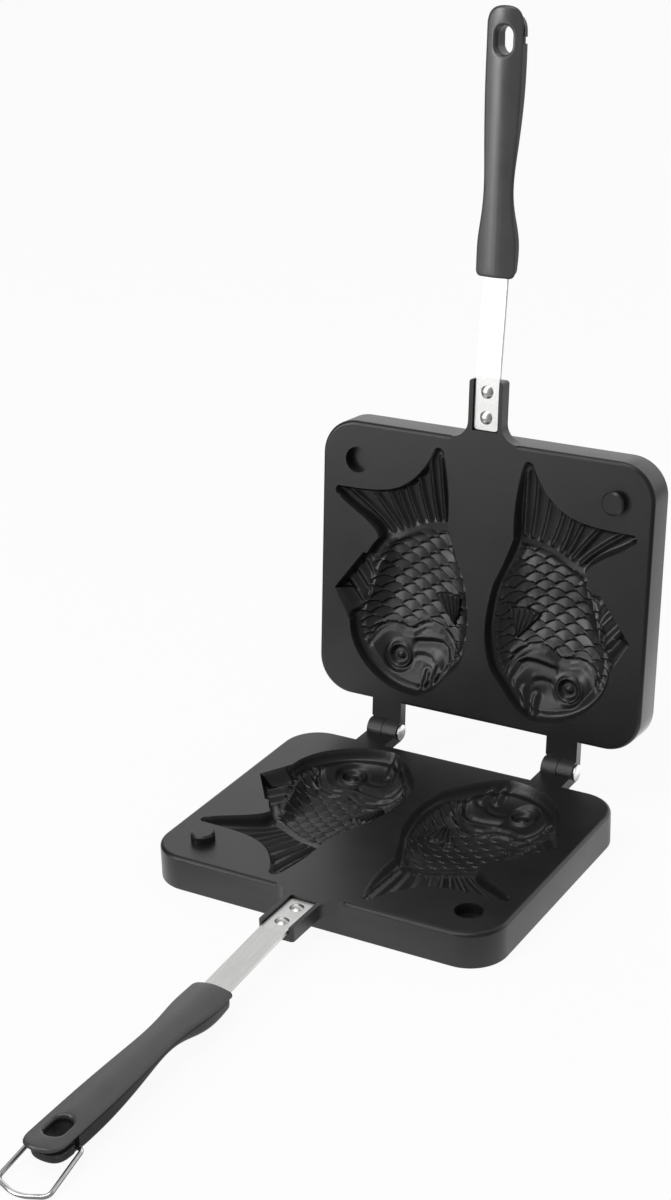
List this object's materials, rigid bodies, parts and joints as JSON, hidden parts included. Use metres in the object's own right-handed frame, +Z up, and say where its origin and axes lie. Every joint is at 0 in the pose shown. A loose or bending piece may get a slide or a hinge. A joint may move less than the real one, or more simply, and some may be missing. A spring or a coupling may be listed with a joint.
{
  "type": "hinged double pan for fish-shaped cakes",
  "caption": "Hand-held hinged double pan that bakes two fish-shaped cakes over a hob, with strap-mounted handles and a wire bail that holds it shut.",
  "frame": {"origin": "on the foot of the lower pan's back rim, in mid-width, at table height", "axes": "+Z up, -Y from the hinge towards the lower handle's tip, +X along the hinge axis to the right as seen from the handle"},
  "size_m": [0.155, 0.366, 0.3283],
  "materials": {
    "coated_casting": "black non-stick coating, satin",
    "brushed_strap": "brushed along its length",
    "bright_rivet": "bright, lightly scuffed",
    "grip_plastic": "moulded, semi-gloss",
    "cover_plastic": "moulded, gloss",
    "screw_steel": "zinc-plated",
    "chromed_wire": "bright"
  },
  "bodies": {
    "base": {"lower_plate": "coated_casting", "left_hinge_pin": "bright_rivet", "right_hinge_pin": "bright_rivet", "lower_strap": "brushed_strap", "lower_strap_inner_rivet": "bright_rivet", "lower_strap_outer_rivet": "bright_rivet", "lower_handle_grip": "grip_plastic", "lower_handle_cover": "cover_plastic", "lower_handle_front_screw": "screw_steel", "lower_handle_rear_screw": "screw_steel"},
    "lid": {"upper_plate": "coated_casting", "upper_strap": "brushed_strap", "upper_strap_inner_rivet": "bright_rivet", "upper_strap_outer_rivet": "bright_rivet", "upper_handle_grip": "grip_plastic", "upper_handle_cover": "cover_plastic", "upper_handle_front_screw": "screw_steel", "upper_handle_rear_screw": "screw_steel"},
    "bail": {"wire_bail": "chromed_wire"}
  },
  "joints": [
    {"name": "lid_hinge", "type": "hinge", "parent": "base", "child": "lid", "pos_m": [0, 0.0147, 0.0154], "axis": [1, 0, 0], "range_deg": [0, 95.3]},
    {"name": "bail_swing", "type": "hinge", "parent": "base", "child": "bail", "pos_m": [0, -0.2864, 0.0059], "axis": [-1, 0, 0], "range_deg": [-150, 110]}
  ]
}
